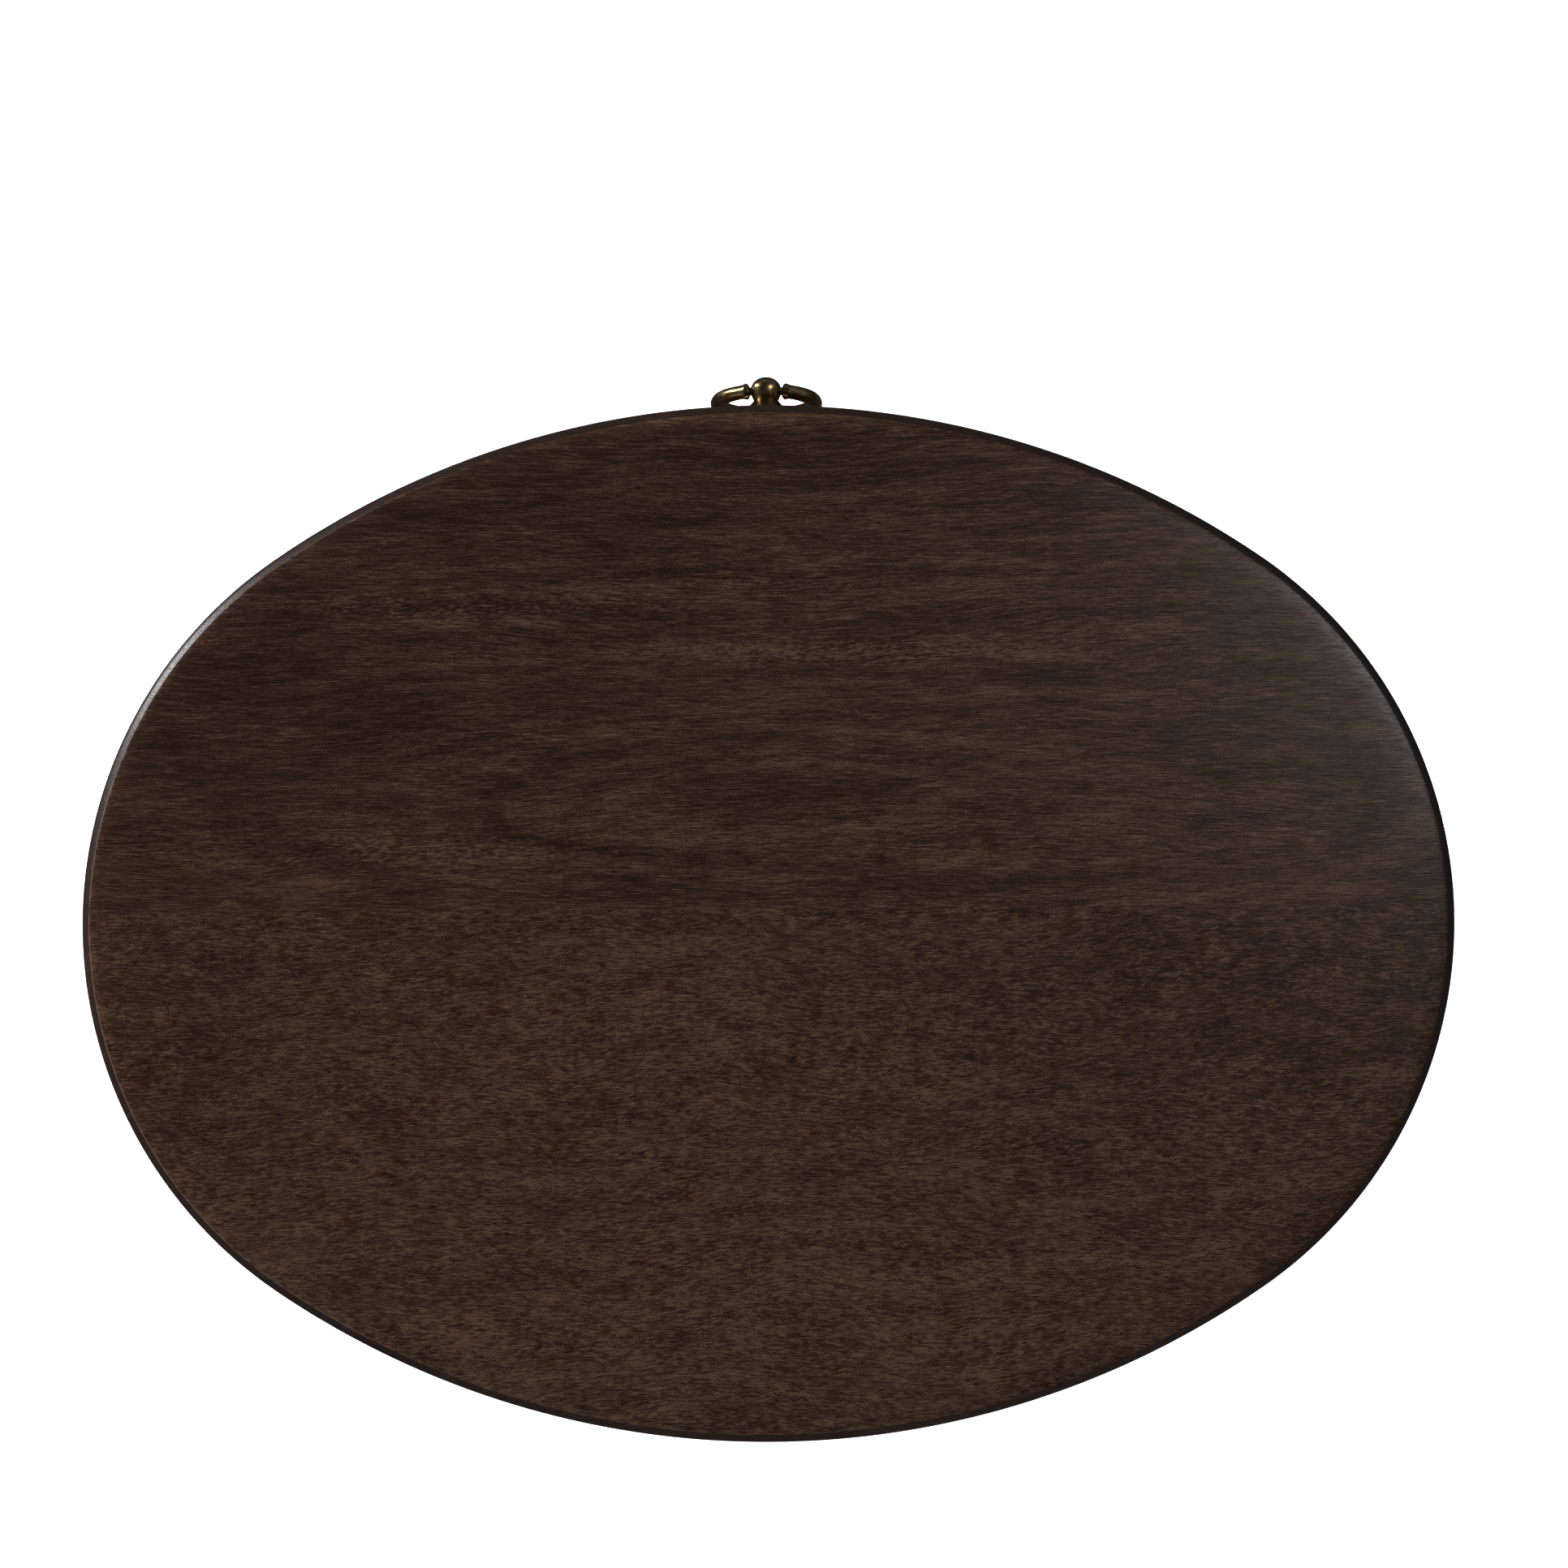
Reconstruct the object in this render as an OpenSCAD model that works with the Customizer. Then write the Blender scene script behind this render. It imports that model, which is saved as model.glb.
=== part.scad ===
// Oval side table with a bow-front drawer and a hanging brass ring pull.
// +Z is up and the drawer opens towards -Y. The origin is on the floor, under the middle of
// the whole object, pull included. All sizes are in millimetres.

/* [Top] */
// Length of the oval top, along X
top_length = 610; // [590:1:630]
// Depth of the oval top, along Y
top_depth = 461; // [455:1:470]
// Thickness of the top
top_thick = 18; // [16:1:22]
// Radius of the two end arcs of the oval
end_radius = 197; // [192:1:202]
// Distance of the glue joint in front of the middle of the top
glue_offset = 6.5; // [0:0.5:20]
// Angle of the glue joint to the long axis, in degrees
glue_angle = 0.13; // [-1:0.01:1]

/* [Frame] */
// Height of the table
table_height = 610; // [560:5:660]
// Height of the curved rails under the top
rail_height = 94; // [90:1:100]
// Thickness of the curved rails and of the drawer front
rail_thick = 18; // [16:1:19]
// How far the frame stands inside the edge of the top
frame_inset = 3; // [2:0.5:4]
// Thickness of the two flat front rails
flat_rail_thick = 12; // [12:0.5:13]
// Width of a square leg at the top
leg_width = 36; // [34:1:38]
// Width of a leg at the floor
foot_width = 22; // [20:1:26]
// Length of a tenon
tenon_length = 14; // [10:1:15]

/* [Drawer] */
// Width of the drawer box
drawer_width = 320; // [310:2:322]
// Thickness of the drawer sides and back
drawer_side_thick = 10; // [9:0.5:11]
// Thickness of the drawer bottom
drawer_bottom_thick = 5; // [4:0.5:5]
// Place of the back of the drawer, behind the middle of the top
drawer_back_y = 115; // [100:1:118]
// Gap round the drawer front
front_gap = 1; // [0.8:0.1:1.5]
// How far the drawer opens
drawer_travel = 200; // [150:5:200]

/* [Ring pull] */
// Depth of the ring's pivot below the top's surface
pull_depth = 45; // [37:0.5:45]
// Distance of the pivot from the drawer front
pull_reach = 19.8; // [19:0.1:22]
// Radius of the ring, to the middle of its bar
ring_radius = 23; // [22:0.25:24]
// Radius of the bar beside its collars
bar_radius_top = 3; // [2.8:0.05:3.2]
// Radius of the bar at the bottom of the ring
bar_radius_bottom = 3.9; // [3.5:0.05:4]
// Radius of the collars
collar_radius = 3.8; // [3.6:0.05:4]
// Distance of each collar's face from the middle of the ball
collar_x = 8.7; // [8.5:0.05:9]
// Radius of the ring's end pins
pin_radius = 1.85; // [1.7:0.05:1.9]
// Radial clearance of the pins in the ball
pin_clearance = 0.05; // [0.02:0.01:0.1]
// Radius of the ball
ball_radius = 7; // [6.7:0.05:7]
// Radius of the rosette
rosette_radius = 19; // [17:0.5:19]

/* [Hidden] */

$fn = 96;
far = 1000;
eps = 0.01;

// The oval: two end arcs centred at (+-end_x, 0) and two long arcs centred at (0, +-side_k)
half_length = top_length / 2;
half_depth = top_depth / 2;
end_x = half_length - end_radius;
side_k = (end_x * end_x - pow(half_depth - end_radius, 2)) / (2 * (half_depth - end_radius));
side_radius = half_depth + side_k;
corner_angle = atan(end_x / side_k);

// Heights
top_z = table_height;
under_top_z = table_height - top_thick;
rail_z = under_top_z - rail_height;
lower_rail_top_z = rail_z + flat_rail_thick;
upper_rail_z = under_top_z - flat_rail_thick;
front_z = lower_rail_top_z + front_gap;
front_height = under_top_z - front_gap - front_z;
drawer_z = lower_rail_top_z + 0.4;
drawer_top_z = upper_rail_z - 1.6;
panel_z = drawer_z + 6.6;
panel_top_z = panel_z + drawer_bottom_thick;

// Surfaces of the curved rails
end_outer = end_radius - frame_inset;
end_inner = end_outer - rail_thick;
side_outer = side_radius - frame_inset;
side_inner = side_outer - rail_thick;
face_y = -(half_depth - frame_inset);

// Flat rails, runners and kicker
rail_back_y = 140;
flat_tenon_length = 12;
flat_tenon_thick = flat_rail_thick / 2;
runner_edge = 181;
runner_width = 35;
guide_height = 15;
guide_gap = 1;
kicker_width = 30;
tongue_length = 12;
tongue_width = 24;
groove_depth = 5;

// Legs
leg_y = -foot_width / 2;
taper_top_z = rail_z - 10;
side_tenon_thick = 8;
side_tenon_shoulder = 10;

// Screws and glides
screw_radius = 2;
screw_play = 0.05;
clip_width = 18;
clip_thick = 2;
clip_reach = 18;
clip_gap = 0.3;
glide_height = 5;
glide_radius = 9;
nail_radius = 1.2;
nail_length = 16;
nail_head_z = 2;
nail_head_height = 1;

// Pull
ball_offset = 0.75;
dome_height = 5.65;
ball_length = 8.6;
neck_radius = 5.6;
flare_radius = 12;
flare_length = 6;
foot_rim = 1.8;
pin_end_x = 3;
neck_angle = acos(neck_radius / ball_radius);
neck_h = ball_offset - ball_length * sin(neck_angle);
foot_h = neck_h - flare_length - foot_rim;
rosette_height = pull_reach + foot_h;
pull_z = top_z - pull_depth;
pivot_y = face_y - pull_reach;
pivot_drop = sqrt(ring_radius * ring_radius - collar_x * collar_x);
pull_tip_y = pivot_y - ball_offset - dome_height;

// The oval's middle lies behind the origin, so that the pull's tip and the rear edge are level
origin_shift = -(pull_tip_y + half_depth) / 2;

wood = [0.17, 0.115, 0.09];
inner_wood = [0.62, 0.47, 0.32];
brass = [0.55, 0.44, 0.24];
steel = [0.62, 0.62, 0.64];
nylon = [0.16, 0.15, 0.14];

// ---- placing ----

// From the oval's own middle to the object's origin
module placed() {
  translate([0, origin_shift, 0]) children();
}

module front_side() {
  mirror([0, 1, 0]) children();
}

module left_side() {
  mirror([1, 0, 0]) children();
}

module both_ends() {
  children();
  left_side() children();
}

// The frame of the rear right leg: origin on the floor under the middle of its outer face,
// X along the outline towards the table's end, Y outwards
module at_leg() {
  translate([end_x, 0, 0])
    rotate([0, 0, -corner_angle])
      translate([0, end_outer, 0]) children();
}

module at_all_legs() {
  both_ends() {
    at_leg() children();
    front_side() at_leg() children();
  }
}

// Round the centre of an end arc, at an angle from X
module round_end(angle, radius) {
  translate([end_x, 0, 0]) rotate([0, 0, angle]) translate([radius, 0, 0]) children();
}

// Round the centre of the rear long arc, at an angle from Y
module round_rear(angle, radius) {
  translate([0, -side_k, 0]) rotate([0, 0, 90 + angle]) translate([radius, 0, 0]) children();
}

// The pull's frame: origin at the ring's pivot, Z out from the drawer front
module at_pull() {
  translate([0, pivot_y, pull_z]) rotate([90, 0, 0]) children();
}

// ---- general shapes ----

// A pie slice of a disc, centred on the direction dir
module slice(radius, dir, half_angle, height) {
  rotate([0, 0, dir - half_angle])
    rotate_extrude(angle = 2 * half_angle) square([radius, height]);
}

// The oval plate, as one slice for each of its four arcs
module oval_plate(height) {
  for (s = [-1, 1]) {
    translate([0, -s * side_k, 0]) slice(side_radius, 90 * s, corner_angle, height);
    translate([s * end_x, 0, 0])
      slice(end_radius, s > 0 ? 0 : 180, 90 - corner_angle, height);
  }
}

// Everything in front of the glue joint of the top
module ahead_of_glue_joint() {
  translate([0, -glue_offset, 0])
    rotate([0, 0, glue_angle])
      translate([-far / 2, -far, 0]) cube([far, far, far]);
}

// A standing ring wall
module ring_wall(outer, thick, height) {
  difference() {
    cylinder(r = outer, h = height);
    translate([0, 0, -1]) cylinder(r = outer - thick, h = height + 2);
  }
}

// Everything beyond the side face of the rear right leg that looks to the table's middle
module beyond_inner_face(gap) {
  at_leg() translate([-leg_width / 2 - gap, -far, 0]) cube([2 * far, 2 * far, far]);
}

// Everything short of the side face of the rear right leg that looks to the table's end
module beyond_outer_face() {
  at_leg() translate([leg_width / 2 - 2 * far, -far, 0]) cube([2 * far, 2 * far, far]);
}

// Space inside the rear rail
module inside_rear_rail() {
  translate([0, -side_k, 0]) cylinder(r = side_inner, h = far);
}

// A countersunk wood screw, standing on its head
module wood_screw(length) {
  cylinder(r1 = 3.8, r2 = screw_radius, h = 2.4);
  cylinder(r = screw_radius, h = length - 3);
  translate([0, 0, length - 3]) cylinder(r1 = screw_radius, r2 = 0.4, h = 3);
}

// A pan-head screw whose head's underside is at the origin, pointing up
module pan_screw(length, radius, head_radius, head_height) {
  difference() {
    translate([0, 0, -head_height]) cylinder(r = head_radius, h = head_height);
    translate([-head_radius, -0.5, -head_height - 1])
      cube([2 * head_radius, 1, 1 + head_height / 2]);
  }
  cylinder(r = radius, h = length);
}

// The hole for any of these screws
module screw_hole(length, radius) {
  translate([0, 0, -eps]) cylinder(r = radius + screw_play, h = length + 0.5);
}

// ---- top ----

module top_blank() {
  difference() {
    translate([0, 0, under_top_z]) oval_plate(top_thick);
    at_clips() clip_top_screw_place() screw_hole(14, screw_radius);
    at_rail_screws() screw_hole(22, screw_radius);
  }
}

module front_top_board() {
  color(wood) placed() intersection() {
    top_blank();
    ahead_of_glue_joint();
  }
}

module rear_top_board() {
  color(wood) placed() difference() {
    top_blank();
    ahead_of_glue_joint();
  }
}

// ---- legs ----

// A square leg, tapered on its two side faces and on its inner face
module leg_blank() {
  intersection() {
    rotate([90, 0, 0])
      linear_extrude(leg_width)
        polygon([
          [-foot_width / 2, glide_height], [foot_width / 2, glide_height],
          [leg_width / 2, taper_top_z], [leg_width / 2, under_top_z],
          [-leg_width / 2, under_top_z], [-leg_width / 2, taper_top_z]
        ]);
    translate([-leg_width / 2, 0, 0])
      rotate([90, 0, 90])
        linear_extrude(leg_width)
          polygon([
            [0, glide_height], [-foot_width, glide_height],
            [-leg_width, taper_top_z], [-leg_width, under_top_z], [0, under_top_z]
          ]);
  }
}

// The tenon of a curved rail, in the leg's frame, on the side given by dir
module side_tenon(dir, play) {
  from_x = dir > 0 ? leg_width / 2 - tenon_length : -leg_width / 2 - 8;
  translate([from_x - play, -rail_thick / 2 - 1 - side_tenon_thick / 2 - play,
             rail_z + side_tenon_shoulder - play])
    cube([tenon_length + 8 + 2 * play, side_tenon_thick + 2 * play,
          rail_height - 2 * side_tenon_shoulder + 2 * play]);
}

// The tenons of the two flat front rails, in the leg's frame
module flat_tenon(base_z, from_y, width, play) {
  translate([-leg_width / 2 - 6, from_y - play, base_z + flat_tenon_thick / 2 - play])
    cube([flat_tenon_length + 6 + play, width + 2 * play, flat_tenon_thick + 2 * play]);
}

module lower_tenon(play) {
  flat_tenon(rail_z, -30, 22, play);
}

module upper_tenon(play) {
  flat_tenon(upper_rail_z, -33, 9, play);
}

module nail_hole() {
  translate([0, leg_y, 0])
    cylinder(r = nail_radius + screw_play, h = glide_height + nail_length + 0.5);
}

module rear_leg() {
  at_leg() difference() {
    leg_blank();
    side_tenon(1, 0.1);
    side_tenon(-1, 0.1);
    nail_hole();
  }
}

module front_leg() {
  front_side() at_leg() difference() {
    leg_blank();
    side_tenon(1, 0.1);
    lower_tenon(0.1);
    upper_tenon(0.1);
    nail_hole();
  }
}

module front_right_leg() {
  color(wood) placed() front_leg();
}

module front_left_leg() {
  color(wood) placed() left_side() front_leg();
}

module rear_right_leg() {
  color(wood) placed() rear_leg();
}

module rear_left_leg() {
  color(wood) placed() left_side() rear_leg();
}

// ---- rails ----

// The curved rail of the right end, with a tenon into each leg
module side_rail() {
  difference() {
    union() {
      difference() {
        translate([end_x, 0, rail_z]) ring_wall(end_outer, rail_thick, rail_height);
        beyond_outer_face();
        front_side() beyond_outer_face();
      }
      at_leg() side_tenon(1, 0);
      front_side() at_leg() side_tenon(1, 0);
    }
    at_clips() clip_rail_screw_place() screw_hole(14, screw_radius);
  }
}

module right_side_rail() {
  color(wood) placed() side_rail();
}

module left_side_rail() {
  color(wood) placed() left_side() side_rail();
}

module rear_rail() {
  color(wood) placed() difference() {
    union() {
      difference() {
        translate([0, -side_k, rail_z]) ring_wall(side_outer, rail_thick, rail_height);
        both_ends() beyond_inner_face(0);
      }
      both_ends() at_leg() side_tenon(-1, 0);
    }
    at_clips() clip_rail_screw_place() screw_hole(14, screw_radius);
  }
}

// A flat rail between the front legs, bowed in front and straight behind
module flat_rail(outer, base_z) {
  front_side() difference() {
    translate([0, -side_k, base_z]) cylinder(r = outer, h = flat_rail_thick);
    both_ends() beyond_inner_face(0);
    translate([-far, rail_back_y - 2 * far, 0]) cube([2 * far, 2 * far, far]);
  }
}

module upper_front_rail() {
  color(wood) placed() difference() {
    union() {
      flat_rail(side_inner - 1.5, upper_rail_z);
      front_side() both_ends() at_leg() upper_tenon(0);
    }
    at_rail_screws() wood_screw_hole(22);
  }
}

module lower_front_rail() {
  color(wood) placed() difference() {
    union() {
      flat_rail(side_outer, rail_z);
      front_side() both_ends() at_leg() lower_tenon(0);
    }
    both_ends() runner_tongue(0.1);
  }
}

// ---- drawer guides ----

// The tongue by which a runner enters the lower front rail
module runner_tongue(play) {
  translate([runner_edge - runner_width / 2 - tongue_width / 2 - play,
             -rail_back_y - tongue_length - play,
             rail_z + flat_rail_thick / 4 - play])
    cube([tongue_width + 2 * play, tongue_length + 2 * play + 1,
          flat_rail_thick / 2 + 2 * play]);
}

// The right runner: a shelf under the drawer side with a guide beside it
module runner() {
  guide_x = drawer_width / 2 + guide_gap;
  intersection() {
    translate([0, rail_back_y + 60, 0])
      rotate([90, 0, 0])
        linear_extrude(2 * rail_back_y + 60)
          polygon([
            [runner_edge - runner_width, rail_z], [runner_edge, rail_z],
            [runner_edge, lower_rail_top_z + guide_height],
            [guide_x, lower_rail_top_z + guide_height],
            [guide_x, lower_rail_top_z], [runner_edge - runner_width, lower_rail_top_z]
          ]);
    inside_rear_rail();
  }
  runner_tongue(0);
}

module right_runner() {
  color(inner_wood) placed() runner();
}

module left_runner() {
  color(inner_wood) placed() left_side() runner();
}

// The bar over the drawer that keeps it from tipping when it is open
module kicker() {
  color(inner_wood) placed() difference() {
    intersection() {
      translate([-kicker_width / 2, -rail_back_y, upper_rail_z])
        cube([kicker_width, 2 * rail_back_y + 100, flat_rail_thick]);
      inside_rear_rail();
    }
    at_rail_screws() wood_screw_hole(22);
    at_out_stop_screw() screw_hole(20, screw_radius);
  }
}

// Blocks on the runners that stop the closed drawer
module drawer_back_stops() {
  color(inner_wood) placed() both_ends()
    translate([drawer_width / 2 - 13, drawer_back_y + 0.5, lower_rail_top_z])
      cube([12, 15, 15]);
}

// Block under the kicker that stops the open drawer's back
out_stop_y = drawer_back_y - drawer_side_thick - drawer_travel - 0.5;
out_stop_size = [24, 12, 10];

module at_out_stop_screw() {
  translate([0, out_stop_y - out_stop_size[1] / 2, upper_rail_z - out_stop_size[2]])
    children();
}

module out_stop() {
  color(inner_wood) placed() difference() {
    translate([-out_stop_size[0] / 2, out_stop_y - out_stop_size[1],
               upper_rail_z - out_stop_size[2]])
      cube(out_stop_size);
    at_out_stop_screw() wood_screw_hole(20);
  }
}

// ---- fasteners of the table ----

// The hole of a countersunk screw
module wood_screw_hole(length) {
  screw_hole(length, screw_radius);
  translate([0, 0, -eps]) cylinder(r1 = 3.9, r2 = screw_radius, h = 2.5);
}

module out_stop_screw() {
  color(steel) placed() at_out_stop_screw() wood_screw(20);
}

// Screws through the upper front rail and the kicker into the top
module at_rail_screws() {
  for (p = [[-120, -160], [120, -160], [0, -40], [0, 120]])
    translate([p[0], p[1], upper_rail_z]) children();
}

module rail_screws() {
  color(steel) placed() at_rail_screws() wood_screw(22);
}

// The six clips: X points to the rail, and the origin is on the clip's back at the floor
module at_clips() {
  both_ends() for (a = [-30, 30]) round_end(a, end_inner - clip_gap) children();
  for (a = [-12, 12]) round_rear(a, side_inner - clip_gap) children();
}

// Where a clip's screws start, pointing along each screw
module clip_top_screw_place() {
  translate([-clip_reach * 0.6, 0, under_top_z - clip_thick]) children();
}

module clip_rail_screw_place() {
  translate([-clip_thick, 0, under_top_z - clip_reach * 0.6]) rotate([0, 90, 0]) children();
}

module top_clips() {
  color(steel) placed() at_clips() difference() {
    union() {
      translate([-clip_thick, -clip_width / 2, under_top_z - clip_reach])
        cube([clip_thick, clip_width, clip_reach]);
      translate([-clip_reach, -clip_width / 2, under_top_z - clip_thick])
        cube([clip_reach, clip_width, clip_thick]);
    }
    clip_top_screw_place() screw_hole(14, screw_radius);
    clip_rail_screw_place() screw_hole(14, screw_radius);
  }
}

module clip_screws() {
  color(steel) placed() at_clips() {
    clip_top_screw_place() pan_screw(14, screw_radius, 3.6, 2);
    clip_rail_screw_place() pan_screw(14, screw_radius, 3.6, 2);
  }
}

// A round glide under each leg, with a soft edge and a sunk nail
module leg_glides() {
  color(nylon) placed() at_all_legs() translate([0, leg_y, 0]) difference() {
    union() {
      cylinder(r1 = glide_radius - 1.5, r2 = glide_radius, h = 1.5);
      translate([0, 0, 1.5]) cylinder(r = glide_radius, h = glide_height - 1.5);
    }
    translate([0, 0, -1]) cylinder(r = 3, h = 1 + nail_head_z + nail_head_height);
    cylinder(r = nail_radius + screw_play, h = glide_height + 1);
  }
}

module glide_nails() {
  point = 2;
  shank = glide_height + nail_length - nail_head_z - point;
  color(steel) placed() at_all_legs() translate([0, leg_y, nail_head_z]) {
    cylinder(r = 2.6, h = nail_head_height);
    cylinder(r = nail_radius, h = shank);
    translate([0, 0, shank]) cylinder(r1 = nail_radius, r2 = 0.2, h = point);
  }
}

// ---- drawer ----

// The space taken by the drawer bottom, with its edges in the grooves
module bottom_panel(play) {
  half_width = drawer_width / 2 - drawer_side_thick + groove_depth;
  intersection() {
    translate([-half_width - play, -far, panel_z - play])
      cube([2 * (half_width + play), far + drawer_back_y + play,
            drawer_bottom_thick + 2 * play]);
    translate([0, side_k, 0]) cylinder(r = side_inner + groove_depth + play, h = far);
  }
}

// Space behind the inner face of the drawer front
module behind_drawer_front() {
  translate([0, side_k, 0]) cylinder(r = side_inner, h = far);
}

module drawer_front() {
  color(wood) placed() difference() {
    front_side() difference() {
      translate([0, -side_k, front_z]) ring_wall(side_outer, rail_thick, front_height);
      both_ends() beyond_inner_face(1.5 * front_gap);
    }
    bottom_panel(0.1);
    at_pull_screw() cylinder(r = screw_radius + 0.3, h = 3 * rail_thick);
  }
}

module drawer_side() {
  difference() {
    intersection() {
      translate([drawer_width / 2 - drawer_side_thick, -far, drawer_z])
        cube([drawer_side_thick, far + drawer_back_y, drawer_top_z - drawer_z]);
      behind_drawer_front();
    }
    bottom_panel(0.1);
  }
}

module drawer_right_side() {
  color(inner_wood) placed() drawer_side();
}

module drawer_left_side() {
  color(inner_wood) placed() left_side() drawer_side();
}

module at_bottom_screws() {
  for (x = [-100, 0, 100])
    translate([x, drawer_back_y - drawer_side_thick / 2, panel_z]) children();
}

// The back stands on the bottom panel, between the sides
module drawer_back() {
  width = drawer_width - 2 * drawer_side_thick;
  color(inner_wood) placed() difference() {
    translate([-width / 2, drawer_back_y - drawer_side_thick, panel_top_z])
      cube([width, drawer_side_thick, drawer_top_z - panel_top_z]);
    at_bottom_screws() screw_hole(18, 1.5);
  }
}

module drawer_bottom() {
  color(inner_wood) placed() difference() {
    bottom_panel(0);
    at_bottom_screws() screw_hole(18, 1.5);
  }
}

module drawer_bottom_screws() {
  color(steel) placed() at_bottom_screws() pan_screw(18, 1.5, 3, 1.8);
}

// ---- ring pull ----

// The screw's start on the inner face of the drawer front, pointing out to the pull
module at_pull_screw() {
  translate([0, face_y + rail_thick, pull_z]) rotate([90, 0, 0]) children();
}

module pull_screw() {
  color(steel) placed() at_pull_screw()
    pan_screw(rail_thick + pull_reach - 6, screw_radius, 4.2, 2.6);
}

// A hollow turned rosette with a boss round the screw
module pull_rosette() {
  steps = 10;
  rim = 1.2;
  inner = flare_radius + 0.8;
  wall = 1.6;
  ogee = [for (i = [0:steps])
    let (t = i / steps)
      [rosette_radius - (rosette_radius - inner) * t,
       rim + (rosette_height - rim) * (1 - cos(180 * t)) / 2]];
  color(brass) placed() at_pull() translate([0, 0, -pull_reach]) difference() {
    rotate_extrude() polygon(concat([[0, 0], [rosette_radius, 0]], ogee, [[0, rosette_height]]));
    difference() {
      translate([0, 0, -1]) cylinder(r = inner - wall, h = rosette_height + 1 - wall);
      cylinder(r = 5, h = rosette_height);
    }
    translate([0, 0, -1]) cylinder(r = screw_radius + 0.3, h = rosette_height + 2);
  }
}

// The turned post: a ball with a flattened dome, a neck and a flared foot
module pull_post() {
  arc_steps = 16;
  dome = [for (i = [arc_steps:-1:0])
    let (a = 90 * i / arc_steps)
      [ball_radius * cos(a), ball_offset + dome_height * sin(a)]];
  shoulder = [for (i = [1:arc_steps / 2])
    let (a = neck_angle * i / (arc_steps / 2))
      [ball_radius * cos(a), ball_offset - ball_length * sin(a)]];
  flare = [for (i = [1:arc_steps / 2])
    let (t = i / (arc_steps / 2))
      [neck_radius + (flare_radius - neck_radius) * pow(t, 1.15), neck_h - flare_length * t]];
  color(brass) placed() at_pull() difference() {
    rotate_extrude()
      polygon(concat(dome, shoulder, flare, [[flare_radius, foot_h], [0, foot_h]]));
    translate([0, 0, foot_h - 1])
      cylinder(r = screw_radius + screw_play, h = -foot_h - 4);
    both_ends() rotate([0, 90, 0])
      translate([0, 0, pin_end_x - 0.3]) cylinder(r = pin_radius + pin_clearance, h = 10);
  }
}

// Radius of the ring's bar at an angle from the top of the ring: a flared collar at each
// end, then a bar that thickens towards the bottom
end_angle = asin(collar_x / ring_radius);
collar_span = 9;

function bar_radius(a) =
  let (
    down = (1 - cos(a)) / 2,
    from_end = min(a, 360 - a) - end_angle,
    flare = max(0, 1 - from_end / collar_span)
  )
  bar_radius_top + (bar_radius_bottom - bar_radius_top) * pow(down, 0.7)
    + (collar_radius - bar_radius_top) * flare * flare;

// The ring hangs in the plane of X and down; its bar is one swept solid
ring_sides = 16;
ring_steps = 48;
ring_angles = [for (i = [0:ring_steps])
  let (t = i / ring_steps)
    end_angle + (360 - 2 * end_angle) * (t - sin(360 * t) / 360 * 28)];
ring_points = [for (a = ring_angles, j = [0:ring_sides - 1])
  let (
    b = 360 * j / ring_sides,
    r = ring_radius + bar_radius(a) * cos(b)
  )
  [r * sin(a), bar_radius(a) * sin(b), r * cos(a)]];
ring_faces = concat(
  [[for (j = [ring_sides - 1:-1:0]) j]],
  [[for (j = [0:ring_sides - 1]) ring_steps * ring_sides + j]],
  [for (i = [0:ring_steps - 1], j = [0:ring_sides - 1])
    let (k = (j + 1) % ring_sides)
      [i * ring_sides + j, i * ring_sides + k,
       (i + 1) * ring_sides + k, (i + 1) * ring_sides + j]]
);

module pull_ring() {
  color(brass) placed() translate([0, pivot_y, pull_z]) {
    translate([0, 0, -pivot_drop]) polyhedron(points = ring_points, faces = ring_faces);
    both_ends() rotate([0, 90, 0])
      translate([0, 0, pin_end_x]) cylinder(r = pin_radius, h = collar_x + 0.8 - pin_end_x);
  }
}

front_top_board();
rear_top_board();
left_side_rail();
right_side_rail();
rear_rail();
upper_front_rail();
lower_front_rail();
front_left_leg();
front_right_leg();
rear_left_leg();
rear_right_leg();
left_runner();
right_runner();
kicker();
drawer_back_stops();
out_stop();
out_stop_screw();
rail_screws();
top_clips();
clip_screws();
leg_glides();
glide_nails();
drawer_front();
drawer_left_side();
drawer_right_side();
drawer_back();
drawer_bottom();
drawer_bottom_screws();
pull_rosette();
pull_post();
pull_screw();
pull_ring();
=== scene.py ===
import math

import bmesh
import bpy
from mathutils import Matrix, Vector

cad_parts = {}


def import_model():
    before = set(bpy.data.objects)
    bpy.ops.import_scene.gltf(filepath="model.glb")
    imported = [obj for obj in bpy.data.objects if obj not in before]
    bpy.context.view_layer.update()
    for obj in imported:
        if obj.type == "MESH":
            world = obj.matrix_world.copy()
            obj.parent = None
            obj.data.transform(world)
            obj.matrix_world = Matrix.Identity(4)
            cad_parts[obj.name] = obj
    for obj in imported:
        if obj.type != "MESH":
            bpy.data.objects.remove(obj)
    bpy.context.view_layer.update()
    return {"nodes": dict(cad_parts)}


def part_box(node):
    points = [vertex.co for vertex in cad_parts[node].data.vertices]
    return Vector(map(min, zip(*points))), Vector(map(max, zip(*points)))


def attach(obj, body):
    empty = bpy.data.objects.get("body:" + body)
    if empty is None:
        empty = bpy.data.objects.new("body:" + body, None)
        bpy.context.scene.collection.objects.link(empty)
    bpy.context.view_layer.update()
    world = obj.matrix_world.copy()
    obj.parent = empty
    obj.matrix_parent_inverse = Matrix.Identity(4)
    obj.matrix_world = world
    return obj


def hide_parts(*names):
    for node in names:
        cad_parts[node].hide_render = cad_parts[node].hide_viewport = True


# Oval side table with a bow-front drawer and a ring pull. Shapes are worked out in
# millimetres, in the frame of the CAD model, and made in metres.

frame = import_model()
nodes = frame["nodes"]
scene = bpy.context.scene
MM = 0.001


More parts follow.
